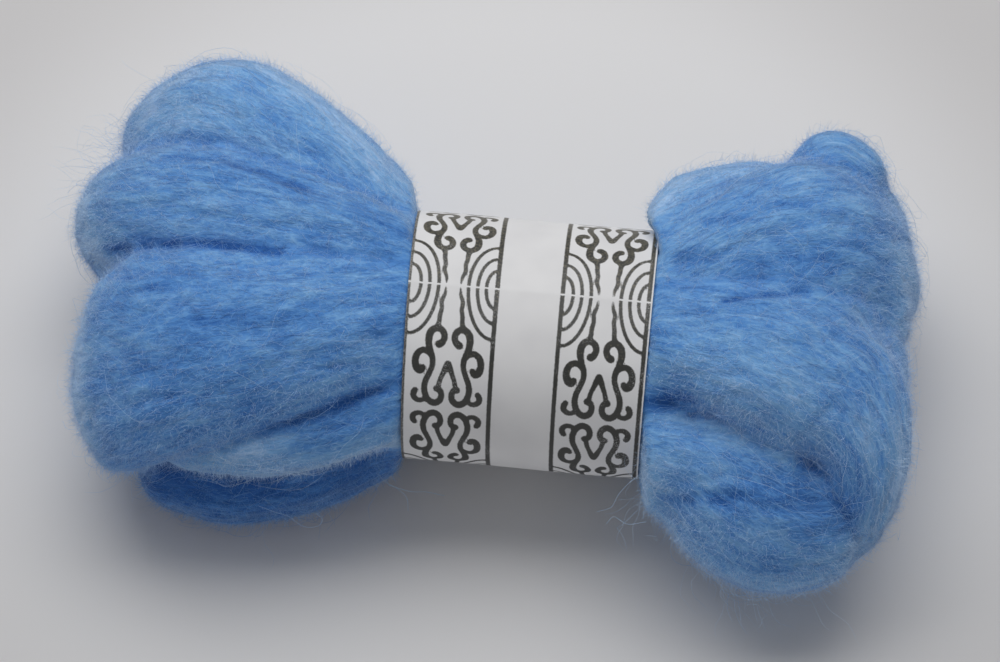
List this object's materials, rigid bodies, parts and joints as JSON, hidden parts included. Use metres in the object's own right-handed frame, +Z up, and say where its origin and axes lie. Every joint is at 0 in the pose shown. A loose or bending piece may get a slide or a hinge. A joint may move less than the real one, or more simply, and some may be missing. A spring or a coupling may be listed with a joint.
{
  "type": "hank of combed wool roving in a paper band",
  "caption": "Hank of soft blue combed wool, folded back and forth so that its loops fan out on both sides of a paper band printed with scrollwork round its waist.",
  "frame": {"origin": "on the surface that the hank lies on, below the middle of its bounding box", "axes": "+X along the hank through the band, towards the end whose last pass sweeps down and round; +Y across it, away from the side where the lowest passes lie; +Z up"},
  "size_m": [0.2396, 0.1428, 0.0719],
  "materials": {
    "blue_wool": "matt combed wool fibres with a soft sheen",
    "printed_paper": "smooth uncoated white paper with dark grey-green printed scrollwork"
  },
  "bodies": {
    "root": {"roving": "blue_wool", "band": "printed_paper"}
  },
  "joints": []
}
